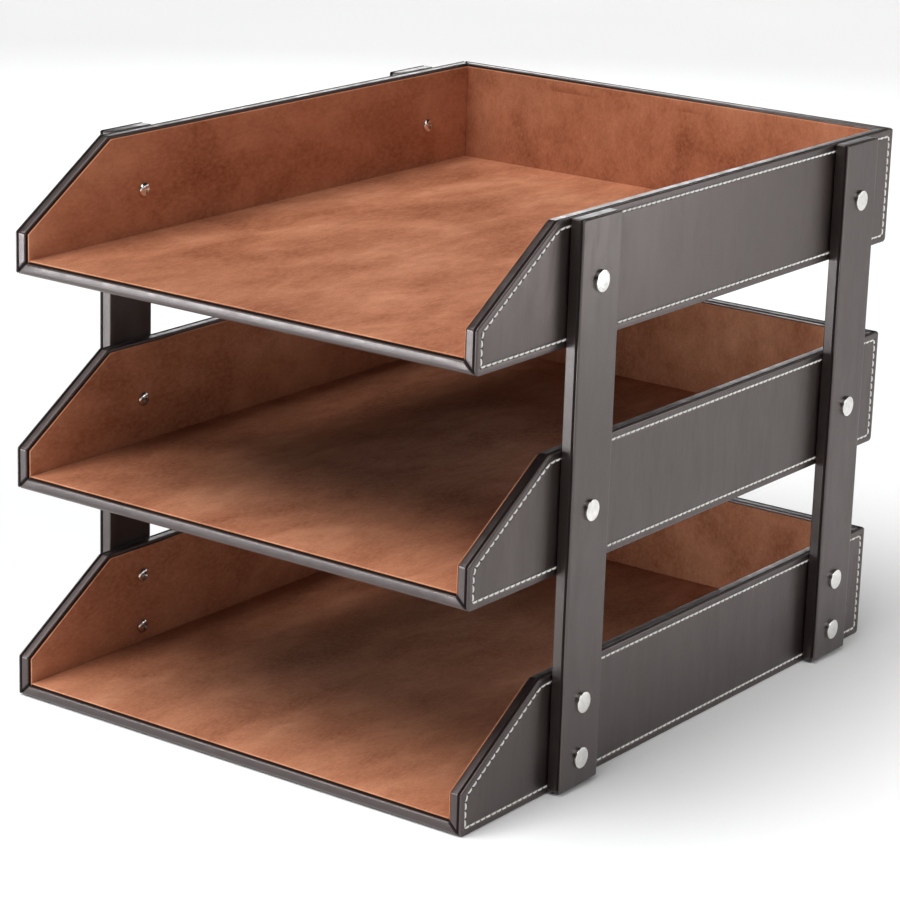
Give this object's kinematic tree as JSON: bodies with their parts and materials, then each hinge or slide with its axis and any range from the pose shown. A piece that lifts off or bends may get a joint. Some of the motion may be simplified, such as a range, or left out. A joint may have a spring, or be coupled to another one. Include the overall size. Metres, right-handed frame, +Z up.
{
  "type": "desk organizer",
  "caption": "Tiered desk tray of leather-wrapped boards with suede linings, hung between flat uprights by binding screws, for office papers.",
  "frame": {"origin": "on the desk, under the middle of the bottom tray's outline", "axes": "+Z up, +Y from the open fronts towards the closed backs, +X to the right of a person facing the open fronts"},
  "size_m": [0.2842, 0.352, 0.268],
  "materials": {
    "leather": "dark brown leather with a fine grain and a soft gloss, wrapped round board",
    "suede_lining": "tan suede with a short matt nap",
    "steel": "bright nickel-plated steel",
    "stitching": "off-white waxed saddle stitching"
  },
  "bodies": {
    "root": {"bottom_tray_floor_board": "leather", "bottom_tray_back_board": "leather", "bottom_tray_left_board": "leather", "bottom_tray_right_board": "leather", "bottom_tray_floor_lining": "suede_lining", "bottom_tray_back_lining": "suede_lining", "bottom_tray_left_lining": "suede_lining", "bottom_tray_right_lining": "suede_lining", "middle_tray_floor_board": "leather", "middle_tray_back_board": "leather", "middle_tray_left_board": "leather", "middle_tray_right_board": "leather", "middle_tray_floor_lining": "suede_lining", "middle_tray_back_lining": "suede_lining", "middle_tray_left_lining": "suede_lining", "middle_tray_right_lining": "suede_lining", "top_tray_floor_board": "leather", "top_tray_back_board": "leather", "top_tray_left_board": "leather", "top_tray_right_board": "leather", "top_tray_floor_lining": "suede_lining", "top_tray_back_lining": "suede_lining", "top_tray_left_lining": "suede_lining", "top_tray_right_lining": "suede_lining", "front_left_upright": "leather", "front_right_upright": "leather", "rear_left_upright": "leather", "rear_right_upright": "leather", "barrel_bottom_front_left_lower": "steel", "screw_bottom_front_left_lower": "steel", "barrel_bottom_front_left_upper": "steel", "screw_bottom_front_left_upper": "steel", "barrel_bottom_front_right_lower": "steel", "screw_bottom_front_right_lower": "steel", "barrel_bottom_front_right_upper": "steel", "screw_bottom_front_right_upper": "steel", "barrel_bottom_rear_left_lower": "steel", "screw_bottom_rear_left_lower": "steel", "barrel_bottom_rear_left_upper": "steel", "screw_bottom_rear_left_upper": "steel", "barrel_bottom_rear_right_lower": "steel", "screw_bottom_rear_right_lower": "steel", "barrel_bottom_rear_right_upper": "steel", "screw_bottom_rear_right_upper": "steel", "barrel_middle_front_left": "steel", "screw_middle_front_left": "steel", "barrel_middle_front_right": "steel", "screw_middle_front_right": "steel", "barrel_middle_rear_left": "steel", "screw_middle_rear_left": "steel", "barrel_middle_rear_right": "steel", "screw_middle_rear_right": "steel", "barrel_top_front_left": "steel", "screw_top_front_left": "steel", "barrel_top_front_right": "steel", "screw_top_front_right": "steel", "barrel_top_rear_left": "steel", "screw_top_rear_left": "steel", "barrel_top_rear_right": "steel", "screw_top_rear_right": "steel"}
  },
  "joints": []
}
